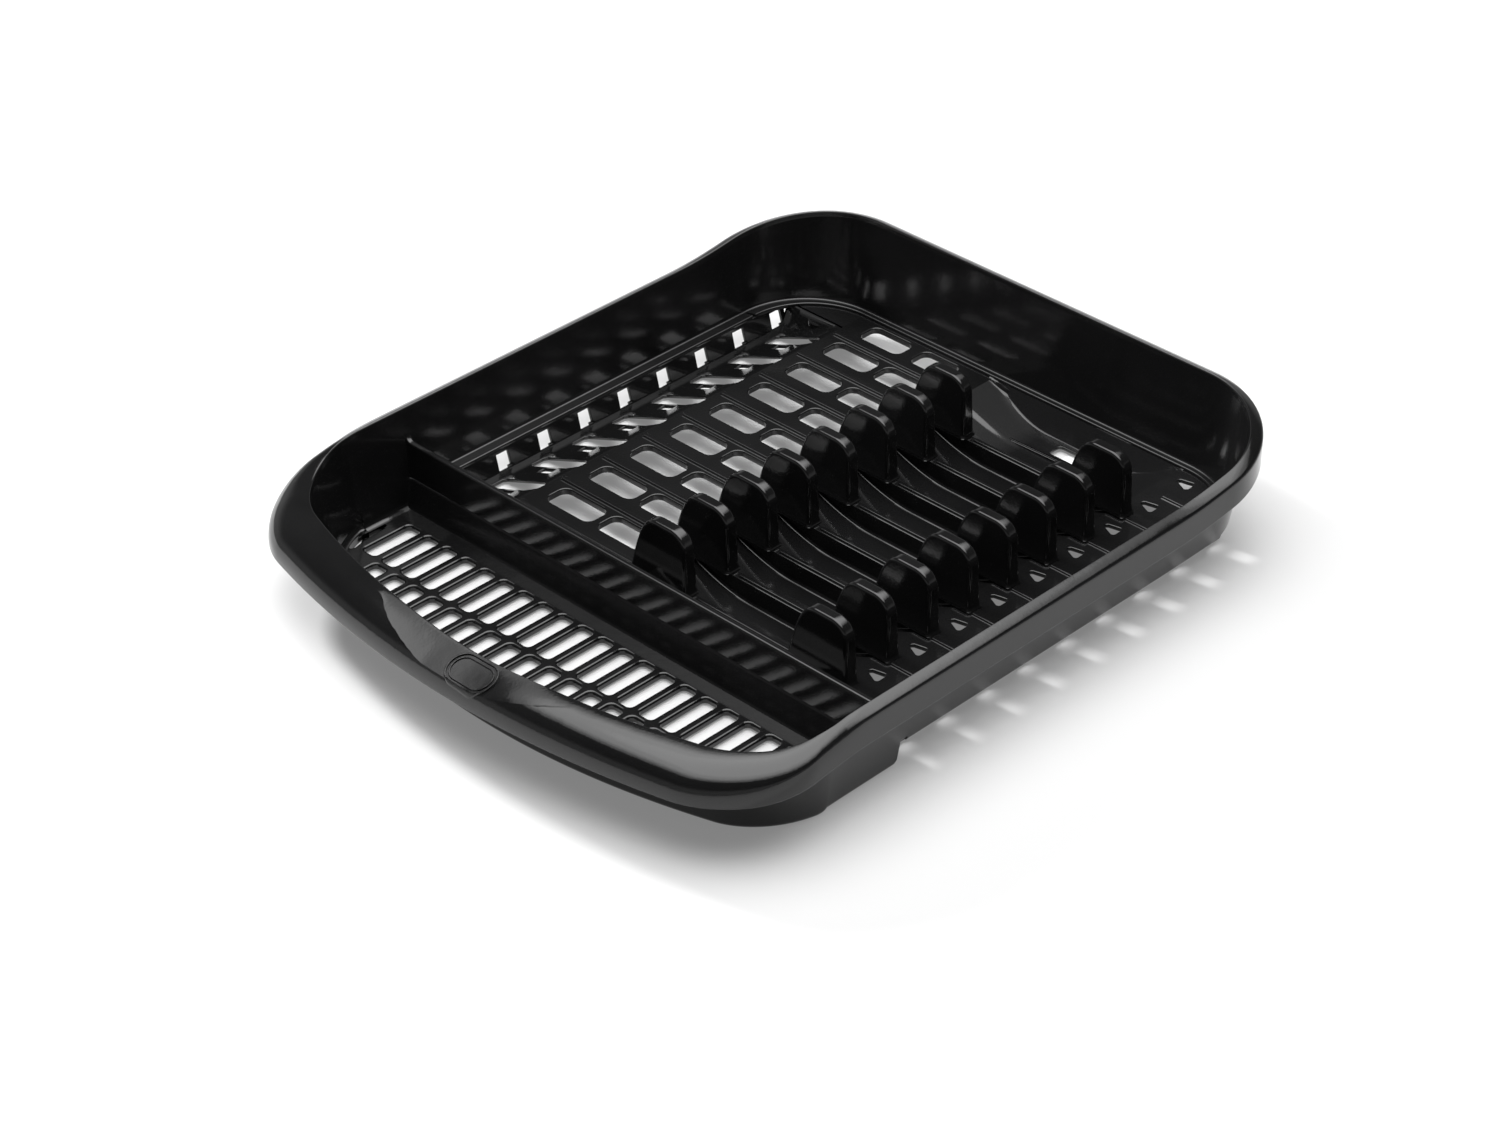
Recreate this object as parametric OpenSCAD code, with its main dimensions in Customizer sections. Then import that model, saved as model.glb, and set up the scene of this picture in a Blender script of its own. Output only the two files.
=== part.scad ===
// Countertop dish drying rack: a moulded basin with a cutlery compartment at the front,
// upright fins for plates behind it, and a carrying handle along the front rim.
// Millimetres. X runs across, Y from the handle (-) to the back (+), Z up from the worktop.

/* [Rim] */
// Half the width inside the rim, at the sides
rim_half_w = 183.5; // [178:0.5:190]
// Where the straight front of the inner rim would lie without its bow
rim_front_y = -173.5; // [-180:0.5:-170]
// Inner edge of the rim at the back
rim_back_y = 226; // [222:0.5:230]
// Corner radius of the inner rim at the front
rim_front_r = 39; // [34:1:44]
// Corner radius of the inner rim at the back
rim_back_r = 61; // [50:1:66]
// How far the front of the inner rim bows out in the middle
rim_bow = 38; // [20:1:42]
// Height of the inner rim at the sides
rim_z = 60; // [56:0.5:64]
// Rise of the rim curve towards the back
back_rise = 23.6; // [0:0.2:30]
// Drop of the inner rim at the front
front_drop = 7.3; // [0:0.1:10]
// Width of the sloping top face at the sides and back
rim_w = 7.5; // [6:0.1:10]
// Drop of that face from its inner edge to its outer crease
rim_slope = 3; // [1:0.1:4]
// Height of the upright band below the crease
band_h = 16; // [12:0.5:18]
// Thickness of the plastic
skin = 2.5; // [2:0.1:3]

/* [Handle] */
// Where the straight front of the handle would lie without its bow
handle_y = -201.9; // [-204.9:0.5:-197.9]
// How far the handle bows out in the middle
handle_bow = 31.6; // [25:0.2:34]
// Corner radius of the handle
handle_r = 45; // [40:1:50]
// Extra drop of the crease along the handle
handle_slope = 4.7; // [2:0.1:6]
// Height of the band along the handle
handle_band_h = 11; // [8:0.5:14]
// Length and width of the oval badge
badge_size = [30, 16]; // [10:0.5:40]

/* [Basin] */
// Inward lean of the walls, per unit of height
draft = 0.18; // [0.1:0.01:0.2]
// Top of the ledge that carries the upper wall
ledge_z = 17; // [16:0.5:18]
// Inner face of the low walls with the windows
low_wall_x = 165; // [162:0.5:168]
// Top of the platforms that the ribs and fins stand on
platform_z = 16; // [15:0.5:17]
// Top of the deep part of the floor
deep_z = 4; // [3.5:0.1:5]
// Where the foot below the cutlery compartment ends
foot_end_y = -84; // [-86:1:-82]

/* [Plate section] */
// Spacing of the ribs
pitch = 31.5; // [31:0.1:32]
// Centre line of the first rib
first_rib_y = -65.7; // [-67:0.1:-64]
// Width and height of a rib
rib_size = [5, 1]; // [0.5:0.5:6]
// Left platform, from its slope to the channels
platform_left = [-122, -20]; // [-130:1:0]
// Right platform, from the channels to its slope
platform_right = [119, 150]; // [110:1:155]
// Length and width of a drain slot
slot_size = [30, 12]; // [8:0.5:32]
// Middle of the slots in each row of the left platform
slot_rows = [-93.5, -53.5]; // [-100:0.5:-40]
// Height of a fin above its rib
fin_h = 37; // [30:0.5:38]
// Width of a fin at its foot
fin_w = 42.5; // [38:0.5:44]
// Left edge of the fins in each row
fin_rows = [-29.6, 86]; // [-32:0.5:90]
// Thickness of a fin at its foot
fin_t = 9; // [7:0.5:10]

/* [Cutlery compartment] */
// Top of the cutlery floor
cutlery_z = 5; // [4.5:0.1:6]
// Spacing of the slots
cutlery_pitch = 15.3; // [15:0.1:15.4]
// Slots in the longest row
cutlery_slots = 21; // [15:2:21]
// Width and length of a slot
cutlery_slot = [8.6, 32]; // [6:0.2:34]
// Middle of the first row of slots
cutlery_row_y = -130; // [-134:0.5:-128]
// Height of the divider
divider_z = 41.5; // [36:0.5:44]
// Cutlery side of the divider, at its top
divider_y = -95.5; // [-97:0.5:-94]

/* [Hidden] */
RIBS = 9;
FINS = 8;
CHANNELS = RIBS + 1;

black = [0.06, 0.06, 0.065];
dark_grey = [0.13, 0.13, 0.135];
$fn = 48;

// A plan is [half width, front y, back y, front radius, back radius, front bow].
rim_plan = [rim_half_w, rim_front_y, rim_back_y, rim_front_r, rim_back_r, rim_bow];
band_plan = [rim_half_w + rim_w, handle_y, rim_back_y + rim_w, handle_r,
             rim_back_r + rim_w, handle_bow];
side_back_y = rim_back_y - rim_back_r;
side_front_y = rim_front_y + rim_front_r;
rise_start = 118.7;
rise_run = 186;
drop_start = -124.3;
drop_run = 49.2;
crease_start = -110;
crease_run = 80;
corner_steps = 10;
side_steps = 12;
front_steps = 14;
channel_floor = [30, 80];
back_floor_y = 213;
gutter_end_y = 187;
deck_r = 40;
divider_foot_y = [-103.5, foot_end_y];
divider_top_w = 4;
slope_foot_left = -157;
slope_foot_right = 159;
ledge_t = 2.5;
channel_t = 2;
dip_steps = 8;
channel_slot_x = 57;
hole_x = 130.5;
slot_r = 3;
recess = 1;
recess_margin = 2.5;
window_size = [7.5, 9];
window_shift = 26.9;
fin_lean = 18;
fin_round = 12;
step_z = 20.5;
foot_r = 9;
foot_at = [140, 197];

function smooth(t) = let (u = max(0, min(1, t))) u * u * (3 - 2 * u);
function lerp(a, b, t) = a + (b - a) * t;
function line(p, q, n) = [for (i = [0:n]) lerp(p, q, i / n)];
function arc(c, r, a0, a1, n) =
    [for (i = [0:n]) let (a = lerp(a0, a1, i / n)) c + r * [cos(a), sin(a)]];
function bowed(points, plan) = let (
        mid = (plan[1] + plan[2]) / 2,
        half = (plan[2] - plan[1]) / 2)
    [for (p = points) [p[0], p[1] - (p[1] < mid
        ? plan[5] * (1 - pow(p[0] / plan[0], 2)) * smooth((mid - p[1]) / half) : 0)]];
function mirrored(points) = [for (p = points) [-p[0], p[1]]];
function reversed(points) = [for (i = [len(points) - 1:-1:0]) points[i]];

// Stretches of a plan, counter-clockwise seen from above.
function right_side(plan) =
    line([plan[0], side_front_y], [plan[0], side_back_y], side_steps);
function front_corner(plan) = let (
        start = plan[1] + plan[3],
        straight = side_front_y - start,
        c = [plan[0] - plan[3], start],
        k = straight > 1 ? 2 : 0)
    bowed(concat(arc(c, plan[3], -90, 0, corner_steps - k),
        k > 0 ? [[plan[0], start + straight / 2], [plan[0], side_front_y]] : []), plan);
function front_edge(plan) = let (x = plan[0] - plan[3])
    bowed(line([-x, plan[1]], [x, plan[1]], front_steps), plan);
function back_corner(plan) =
    arc([plan[0] - plan[4], plan[2] - plan[4]], plan[4], 0, 90, corner_steps);
function front_run(plan) = let (corner = front_corner(plan))
    concat(reversed(mirrored(corner)), [for (i = [1:front_steps - 1]) front_edge(plan)[i]],
        corner);
function back_run(plan) = let (corner = back_corner(plan))
    concat(corner, reversed(mirrored(corner)));
function left_side(plan) = reversed(mirrored(right_side(plan)));

// Heights of the rim at a place along it.
function rim_in_z(y) = rim_z + back_rise * smooth((y - rise_start) / rise_run)
    - front_drop * smooth((drop_start - y) / drop_run);
function crease_share(y) = smooth((crease_start - y) / crease_run);
function crease_drop(y) = rim_slope + handle_slope * crease_share(y);
function band_height(y) = lerp(band_h, handle_band_h, crease_share(y));
function rim_top_z(p, s) = rim_in_z(p[1]) - crease_drop(p[1]) * pow(s, 1.4);

function at(p, q, s, z) = let (m = lerp(p, q, s)) [m[0], m[1], z];

// Section of the rim: sloping top face, crease, upright band, open below.
function rim_section(p, q) = let (
        k = skin / norm(q - p),
        crease = rim_top_z(p, 1),
        low = crease - band_height(p[1]))
    [at(p, q, 0, rim_top_z(p, 0)), at(p, q, 0.35, rim_top_z(p, 0.35)),
     at(p, q, 0.65, rim_top_z(p, 0.65)), at(p, q, 1, crease), at(p, q, 1, low),
     at(p, q, 1 - k, low), at(p, q, 1 - k, crease - skin),
     at(p, q, 0.35, rim_top_z(p, 0.35) - skin), at(p, q, 0, rim_top_z(p, 0) - skin)];

// Section of a wall: it hangs from the rim and leans inwards on its way down.
function wall_section(p, q, low) = let (
        w = norm(q - p),
        lean = -draft * (rim_in_z(p[1]) - low) / w,
        k = skin / w)
    [at(p, q, 0, rim_top_z(p, 0) - skin), at(p, q, k, rim_top_z(p, 0.35) - skin),
     at(p, q, lean + k, low), at(p, q, lean, low)];

// A solid through a row of sections with the same number of points.
module sweep(sections) {
    n = len(sections[0]);
    m = len(sections);
    sides = [for (i = [0:m - 2]) for (j = [0:n - 1]) let (
            a = i * n + j, b = i * n + (j + 1) % n) [[a, b, b + n], [a, b + n, a + n]]];
    polyhedron(
        points = [for (s = sections) for (p = s) p],
        faces = concat([for (pair = sides) for (f = pair) f],
            [[for (j = [n - 1:-1:0]) j]], [[for (j = [0:n - 1]) (m - 1) * n + j]]),
        convexity = 6);
}

module rim_piece(inner, outer)
    sweep([for (i = [0:len(inner) - 1]) rim_section(inner[i], outer[i])]);

module wall_piece(inner, outer, low)
    sweep([for (i = [0:len(inner) - 1]) wall_section(inner[i], outer[i], low)]);

module front_handle() {
    color(dark_grey) rim_piece(front_run(rim_plan), front_run(band_plan));
}

module rim_left() {
    color(dark_grey) rim_piece(left_side(rim_plan), left_side(band_plan));
}

module rim_right() {
    color(dark_grey) rim_piece(right_side(rim_plan), right_side(band_plan));
}

module rim_back() {
    color(dark_grey) rim_piece(back_run(rim_plan), back_run(band_plan));
}

// Blank oval badge lying on the sloping face of the handle.
module handle_badge() {
    y = (rim_front_y - rim_bow + handle_y - handle_bow) / 2;
    lift = 0.4;
    tilt = atan(crease_drop(y) / (rim_front_y - rim_bow - handle_y + handle_bow));
    r = badge_size[1] / 2;
    color(black) translate([0, y, rim_top_z([0, y], 0.5) + lift]) rotate([tilt, 0, 0])
        linear_extrude(1) {
            square([badge_size[0] - 2 * r, 2 * r], center = true);
            for (s = [-1, 1]) translate([s * (badge_size[0] / 2 - r), 0]) circle(r);
        }
}

// Straight runs of wall between two places along the side.
function side_run(x, y0, y1, n) = line([x, y0], [x, y1], n);

module wall_front() {
    x = rim_half_w;
    short = 2;
    inner = concat(side_run(-x, foot_end_y, side_front_y, short),
        [for (i = [1:len(front_run(rim_plan)) - 2]) front_run(rim_plan)[i]],
        side_run(x, side_front_y, foot_end_y, short));
    outer = concat(side_run(-x - rim_w, foot_end_y, side_front_y, short),
        [for (i = [1:len(front_run(band_plan)) - 2]) front_run(band_plan)[i]],
        side_run(x + rim_w, side_front_y, foot_end_y, short));
    color(black) wall_piece(inner, outer, 0);
}

module side_wall(sign) {
    x = rim_half_w;
    inner = side_run(sign * x, foot_end_y, side_back_y, side_steps);
    outer = side_run(sign * (x + rim_w), foot_end_y, side_back_y, side_steps);
    color(black) wall_piece(sign > 0 ? inner : reversed(inner),
        sign > 0 ? outer : reversed(outer), ledge_z);
}

module wall_left() side_wall(-1);
module wall_right() side_wall(1);

module wall_back() {
    color(black) wall_piece(back_run(rim_plan), back_run(band_plan), ledge_z);
}

// Ledge below the upper walls.
module side_ledge(sign) {
    ledge_out = rim_half_w - draft * (rim_z - ledge_z) + skin;
    color(black) translate([sign > 0 ? low_wall_x : -ledge_out, foot_end_y, ledge_z - ledge_t])
        cube([ledge_out - low_wall_x, side_back_y - foot_end_y, ledge_t]);
}

module ledge_left() side_ledge(-1);
module ledge_right() side_ledge(1);

// Plan of the plate section at the height of its platforms.
module deck_outline() {
    translate([-low_wall_x, foot_end_y])
        square([2 * low_wall_x, back_floor_y - deck_r - foot_end_y]);
    translate([-low_wall_x + deck_r, foot_end_y])
        square([2 * (low_wall_x - deck_r), back_floor_y - foot_end_y]);
    for (sign = [-1, 1])
        translate([sign * (low_wall_x - deck_r), back_floor_y - deck_r]) circle(deck_r);
}

// Outer edge of a wall where it ends at a height.
function wall_foot(inner, outer, low, out) = [for (i = [0:len(inner) - 1]) let (
        q = wall_section(inner[i], outer[i], low)[out ? 2 : 3]) [q[0], q[1]]];

module ledge_back() {
    color(black) translate([0, 0, ledge_z - ledge_t]) linear_extrude(ledge_t) difference() {
        polygon(wall_foot(back_run(rim_plan), back_run(band_plan), ledge_z, true));
        deck_outline();
    }
}

// Low walls with a window beside each rib.
module window_wall(sign) {
    low = deep_z - channel_t;
    color(black) difference() {
        translate([sign > 0 ? low_wall_x : -low_wall_x - skin, foot_end_y, low])
            cube([skin, gutter_end_y - foot_end_y, ledge_z - ledge_t - low]);
        for (i = [0:RIBS - 2])
            translate([sign * (low_wall_x + skin / 2) - skin,
                       first_rib_y + window_shift + i * pitch - window_size[0] / 2, deep_z])
                cube([2 * skin, window_size[0], window_size[1]]);
    }
}

module window_wall_left() window_wall(-1);
module window_wall_right() window_wall(1);

// Outline of a drain slot.
module slot_2d(size) {
    r = slot_r;
    square([size[0] - 2 * r, size[1]], center = true);
    square([size[0], size[1] - 2 * r], center = true);
    for (x = [-1, 1]) for (y = [-1, 1])
        translate([x * (size[0] / 2 - r), y * (size[1] / 2 - r)]) circle(r);
}

// Gutters beside the low walls: a flat bottom, a slope up to the platform and a closed end.
module gutter(sign, foot, top) {
    wall = sign * low_wall_x;
    low = deep_z - channel_t;
    color(black) difference() {
        translate([0, gutter_end_y, 0]) rotate([90, 0, 0]) {
            linear_extrude(gutter_end_y - foot_end_y)
                polygon([[wall, deep_z], [foot, deep_z], [top, platform_z],
                         [top, platform_z - skin], [foot, low], [wall, low]]);
            linear_extrude(skin)
                polygon([[wall, low], [wall, platform_z - channel_t], [top, platform_z],
                         [top, platform_z - skin], [foot, low]]);
        }
        if (sign < 0) for (i = [0:RIBS - 2])
            translate([(foot + top) / 2 - 2, first_rib_y + (i + 0.5) * pitch, 0])
                linear_extrude(platform_z) slot_2d([slot_size[0] - 2, slot_size[1] - 1]);
    }
}

module gutter_left() gutter(-1, slope_foot_left, platform_left[0]);
module gutter_right() gutter(1, slope_foot_right, platform_right[1]);

// A platform, from one place across the rack to another and from a place along it to the back.
module deck(x0, x1, y0) {
    translate([0, 0, platform_z - skin]) linear_extrude(skin) intersection() {
        deck_outline();
        translate([x0, y0]) square([x1 - x0, back_floor_y - y0]);
    }
}

// Corners behind the ends of the gutters.
module corner_deck_left() {
    color(black) deck(-low_wall_x, platform_left[0], gutter_end_y);
}

module corner_deck_right() {
    color(black) deck(platform_right[1], low_wall_x, gutter_end_y);
}

// Rows of slots, or of the shallow recesses round them.
module slots(depth, grow) {
    size = [slot_size[0] + 2 * grow, slot_size[1] + 2 * grow];
    for (x = slot_rows) for (i = [0:RIBS - 2])
        translate([x, first_rib_y + (i + 0.52) * pitch, platform_z - depth])
            linear_extrude(depth + 1) slot_2d(size);
}

// Left platform with two rows of slots in shallow recesses.
module platform_left_deck() {
    color(black) difference() {
        deck(platform_left[0], platform_left[1], foot_end_y);
        slots(recess, recess_margin);
        slots(2 * skin, 0);
        for (x = slot_rows) translate([x + 2, back_floor_y - 11.5, platform_z - 2 * skin])
            linear_extrude(3 * skin) slot_2d([slot_size[0] - 4, slot_size[1]]);
    }
}

// Right platform with one rounded triangular drain hole in each channel.
module platform_right_deck() {
    color(black) difference() {
        deck(platform_right[0], platform_right[1], foot_end_y);
        for (i = [0:RIBS - 1])
            translate([hole_x, first_rib_y + (i + 0.5) * pitch, platform_z - skin - 1])
                linear_extrude(skin + 2)
                    polygon([[-4, 6], [1, 5], [4.5, 0], [1, -6], [-2, -3]]);
    }
}

// Channel floors: they dip between the ribs to cradle a plate's edge.
function dip(t) = platform_z - (platform_z - deep_z) * sin(90 * t);
channel_top = concat(
    [for (i = [0:dip_steps]) let (t = i / dip_steps)
        [lerp(platform_left[1], channel_floor[0], t), dip(t)]],
    [for (i = [dip_steps:-1:0]) let (t = i / dip_steps)
        [lerp(platform_right[0], channel_floor[1], t), dip(t)]]);
channel_low = [for (p = reversed(channel_top)) [p[0], p[1] - channel_t]];

module channel(i) {
    low = i == 1 ? divider_foot_y[1] : rib_y(i - 1) + rib_size[0] / 2;
    high = i == CHANNELS ? back_floor_y - skin : rib_y(i) - rib_size[0] / 2;
    color(black) difference() {
        translate([0, high, 0]) rotate([90, 0, 0]) linear_extrude(high - low)
            polygon(concat(channel_top, channel_low));
        if (i > 1) translate([channel_slot_x, low + 6, 0])
            linear_extrude(platform_z) slot_2d([24, 7]);
    }
}

// Low wall that closes the channels at the back.
module low_wall_back() {
    color(black) translate([0, back_floor_y, 0]) rotate([90, 0, 0]) linear_extrude(skin)
        polygon(concat([[platform_left[1], platform_z], [platform_right[0], platform_z]],
            channel_low));
}

function rib_y(i) = first_rib_y + (i - 1) * pitch;

// Ribs: walls between the channels, low raised lines on the platforms.
module rib(i) {
    top = platform_z + rib_size[1];
    left = platform_left[0] + 2;
    right = platform_right[1] - 2;
    color(black) translate([0, rib_y(i) + rib_size[0] / 2, 0]) rotate([90, 0, 0])
        linear_extrude(rib_size[0])
            polygon(concat([[left, platform_z], [left, top], [right, top],
                [right, platform_z]], [for (p = channel_low)
                [p[0], min(platform_z, p[1] + (p[1] > platform_z - channel_t - 0.1
                    ? channel_t : 0))]]));
}

// Outline of a fin, or of the hollow inside it.
module fin_profile(h, inset) {
    left = fin_lean + inset;
    right = fin_w - 1 - inset;
    polygon(concat([[inset, 0], [left, h - 3], [left + 2, h]],
        arc([right - fin_round, h - fin_round], fin_round, 90, 0, 8), [[fin_w - inset, 0]]));
}

// Fins: hollow uprights, open below, with a sloping left edge and a rounded top.

module fin(x, i) {
    color(black) translate([x, rib_y(i), platform_z + rib_size[1]]) difference() {
        translate([0, fin_t / 2, 0]) rotate([90, 0, 0])
            linear_extrude(fin_t) fin_profile(fin_h, 0);
        translate([0, fin_t / 2 - channel_t, 0]) rotate([90, 0, 0])
            linear_extrude(fin_t - 2 * channel_t) fin_profile(fin_h - channel_t, channel_t);
    }
}

// Cutlery floor with rows of slots, cut to the plan of the front wall.
module cutlery_floor() {
    run = wall_foot(front_run(rim_plan), front_run(band_plan), cutlery_z - skin, false);
    side = rim_half_w - draft * (rim_z - cutlery_z + skin);
    row_step = cutlery_slot[1] + 4.5;
    color(black) translate([0, 0, cutlery_z - skin]) linear_extrude(skin) difference() {
        polygon(concat([[-side, divider_foot_y[0]]], run, [[side, divider_foot_y[0]]]));
        for (row = [0:1]) for (i = [0:cutlery_slots - 1 - 2 * row])
            translate([(i - (cutlery_slots - 1 - 2 * row) / 2) * cutlery_pitch,
                       cutlery_row_y - row * row_step])
                square(cutlery_slot, center = true);
    }
}

// Divider between cutlery and plates: an upside-down channel with leaning sides.
module divider() {
    foot = divider_foot_y;
    top = [divider_y, divider_y + divider_top_w];
    low = deep_z - channel_t;
    reach = [for (z = [low, divider_z]) rim_half_w - draft * (rim_z - z)];
    color(black) intersection() {
        rotate([90, 0, 90]) translate([0, 0, -rim_half_w]) linear_extrude(2 * rim_half_w)
            polygon([[foot[0], cutlery_z - skin], [foot[0], cutlery_z], [top[0] - 2, step_z],
                     [top[0], divider_z], [top[1], divider_z], [top[1] + 2, step_z],
                     [foot[1], platform_z], [foot[1], low], [foot[1] - skin, low],
                     [foot[1] - skin, platform_z - 2], [top[1] - 0.2, step_z - 1],
                     [top[0] + 2, divider_z - 4], [top[0] + 0.2, step_z],
                     [foot[0] + skin, cutlery_z + 0.5], [foot[0] + skin, cutlery_z - skin]]);
        rotate([90, 0, 0]) linear_extrude(2 * rim_half_w, center = true)
            polygon([[-reach[0], low], [reach[0], low], [reach[1], divider_z],
                     [-reach[1], divider_z]]);
    }
}

// Rear feet below the corners of the platforms.
module rear_foot(sign) {
    color(black) translate([sign * foot_at[0], foot_at[1], 0])
        cylinder(r = foot_r, h = platform_z - skin);
}

module rear_foot_left() rear_foot(-1);
module rear_foot_right() rear_foot(1);

front_handle();
handle_badge();
rim_left();
rim_right();
rim_back();
wall_front();
wall_left();
wall_right();
wall_back();
ledge_left();
ledge_right();
ledge_back();
window_wall_left();
window_wall_right();
gutter_left();
gutter_right();
platform_left_deck();
platform_right_deck();
corner_deck_left();
corner_deck_right();
cutlery_floor();
divider();
low_wall_back();
rear_foot_left();
rear_foot_right();
for (i = [1:CHANNELS]) channel(i);
for (i = [1:RIBS]) rib(i);
for (i = [1:FINS]) fin(fin_rows[0], i);
for (i = [1:FINS]) fin(fin_rows[1], i);
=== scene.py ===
"""Dish drying rack: mesh pieces, materials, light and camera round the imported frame."""
import math

import bmesh
import bpy
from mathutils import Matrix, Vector
from mathutils.bvhtree import BVHTree


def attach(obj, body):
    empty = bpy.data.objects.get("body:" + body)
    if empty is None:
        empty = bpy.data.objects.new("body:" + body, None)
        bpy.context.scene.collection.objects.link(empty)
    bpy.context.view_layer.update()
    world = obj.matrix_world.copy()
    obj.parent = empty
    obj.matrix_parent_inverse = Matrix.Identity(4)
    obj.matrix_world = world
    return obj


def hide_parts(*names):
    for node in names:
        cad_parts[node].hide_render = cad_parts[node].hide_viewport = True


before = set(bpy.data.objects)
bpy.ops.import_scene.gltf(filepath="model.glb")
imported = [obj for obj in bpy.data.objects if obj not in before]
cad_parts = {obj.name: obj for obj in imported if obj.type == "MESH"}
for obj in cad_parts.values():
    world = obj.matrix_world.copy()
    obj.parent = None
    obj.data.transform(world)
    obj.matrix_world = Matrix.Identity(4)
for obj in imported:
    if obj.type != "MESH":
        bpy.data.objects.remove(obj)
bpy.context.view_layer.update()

# Sizes in millimetres, in the CAD's frame.
MM = 0.001
SKIN = 2.5
RIM_Z = 60.0
PLATFORM_Z = 16.0
DEEP_Z = 4.0
LEDGE_Z = 17.6
CUTLERY_Z = 5.0
PITCH = 31.5
FIRST_RIB_Y = -65.7
RIBS = 9
FINS = 8
RIB_W = 5.0
SIDE_BACK_Y = 165.0
SIDE_FRONT_Y = -134.5
FOOT_END_Y = -84.0
GUTTER_END_Y = 187.0
BACK_FLOOR_Y = 213.0
PLATFORM_LEFT = (-122.0, -20.0)
PLATFORM_RIGHT = (119.0, 150.0)
CHANNEL_FLOOR = (30.0, 80.0)
FIN_ROWS = (-29.6, 86.0)
FIN_W = 42.5
FIN_H = 37.0
FIN_T = 9.0
BACK_RISE, BACK_RISE_Y, BACK_RISE_RUN = 23.6, 118.7, 186
FRONT_DIP, FRONT_DIP_Y, FRONT_DIP_RUN = 7.3, -124.3, 49.2
HANDLE_TURN_Y, HANDLE_TURN_RUN = -110, 80
# A plan is half width, front y, back y, front radius, back radius, front bow.
RIM = (183.5, -173.5, 226.0, 39.0, 61.0, 38.0)
BAND = (191.0, -201.9, 233.5, 45.0, 68.5, 31.6)


def smooth(t):
    """Smooth step from 0 to 1."""
    t = max(0.0, min(1.0, t))
    return t * t * (3 - 2 * t)


def lerp(a, b, t):
    return a + (b - a) * t


def rib_y(i):
    return FIRST_RIB_Y + (i - 1) * PITCH


def arc(cx, cy, r, a0, a1, n):
    """n + 1 points on an arc, angles in degrees."""
    angles = [math.radians(lerp(a0, a1, i / n)) for i in range(n + 1)]
    return [(cx + r * math.cos(a), cy + r * math.sin(a)) for a in angles]


# ---------------------------------------------------------------- plans of the rim

def bow_back(p, plan):
    """Moves a point of the front half of a plan forward, most in the middle."""
    mid, half = (plan[1] + plan[2]) / 2, (plan[2] - plan[1]) / 2
    if p[1] >= mid:
        return p
    return (p[0], p[1] - plan[5] * (1 - (p[0] / plan[0]) ** 2) * smooth((mid - p[1]) / half))


def front_run(plan, corner=40, straight=8, edge=90):
    """The front of a plan from the left side round to the right side."""
    start = plan[1] + plan[3]
    gap = SIDE_FRONT_Y - start
    k = straight if gap > 1 else 0
    right = arc(plan[0] - plan[3], start, plan[3], -90, 0, corner - k)
    right += [(plan[0], start + gap * i / k) for i in range(1, k + 1)] if k else []
    left = [(-x, y) for x, y in reversed(right)]
    x = plan[0] - plan[3]
    middle = [(lerp(-x, x, i / edge), plan[1]) for i in range(1, edge)]
    return [bow_back(p, plan) for p in left + middle + right]


def back_run(plan, corner=36, edge=24):
    """The back of a plan from the right side round to the left side."""
    right = arc(plan[0] - plan[4], plan[2] - plan[4], plan[4], 0, 90, corner)
    x = plan[0] - plan[4]
    middle = [(lerp(x, -x, i / edge), plan[2]) for i in range(1, edge)]
    return right + middle + [(-x, y) for x, y in reversed(right)]


def side_run(plan, sign, y0, y1, n=40):
    return [(sign * plan[0], lerp(y0, y1, i / n)) for i in range(n + 1)]


def rim_in_z(y):
    """Height of the rim's inner edge: it rises towards the back and dips into the handle."""
    back_rise = BACK_RISE * smooth((y - BACK_RISE_Y) / BACK_RISE_RUN)
    return RIM_Z + back_rise - FRONT_DIP * smooth((FRONT_DIP_Y - y) / FRONT_DIP_RUN)


def crease_share(y):
    """0 where the rim has its crease, 1 where it is the rounded handle."""
    return smooth((HANDLE_TURN_Y - y) / HANDLE_TURN_RUN)


def crease_drop(y):
    return 3 + 4.7 * crease_share(y)


def band_height(y):
    return lerp(16, 11, crease_share(y))


# ---------------------------------------------------------------- mesh helpers

def clean(bm):
    bmesh.ops.remove_doubles(bm, verts=bm.verts, dist=1e-7)
    bmesh.ops.recalc_face_normals(bm, faces=bm.faces)


def add_piece(name, bms, nodes, material, sharp=38):
    """One object from bmeshes in millimetres, standing for its CAD nodes."""
    joined = bmesh.new()
    for bm in bms:
        clean(bm)
        part = bpy.data.meshes.new("part")
        bm.to_mesh(part)
        bm.free()
        joined.from_mesh(part)
        bpy.data.meshes.remove(part)
    bmesh.ops.scale(joined, vec=(MM, MM, MM), verts=joined.verts)
    mesh = bpy.data.meshes.new(name)
    joined.to_mesh(mesh)
    joined.free()
    mesh.polygons.foreach_set("use_smooth", [True] * len(mesh.polygons))
    mesh.set_sharp_from_angle(angle=math.radians(sharp))
    piece = bpy.data.objects.new(name, mesh)
    bpy.context.scene.collection.objects.link(piece)
    mesh.materials.append(material)
    even = piece.modifiers.new("even_normals", "WEIGHTED_NORMAL")
    even.keep_sharp = True
    even.weight = 80
    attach(piece, "root")
    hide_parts(*nodes)
    return piece


def sweep(rings, closed=False):
    """A closed solid through rings with the same number of points."""
    bm = bmesh.new()
    grid = [[bm.verts.new(p) for p in ring] for ring in rings]
    n, m = len(rings[0]), len(rings)
    for i in range(m if closed else m - 1):
        a, b = grid[i], grid[(i + 1) % m]
        for j in range(n):
            k = (j + 1) % n
            bm.faces.new((a[j], a[k], b[k], b[j]))
    if not closed:
        bm.faces.new(list(reversed(grid[0])))
        bm.faces.new(grid[-1])
    return bm


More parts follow.
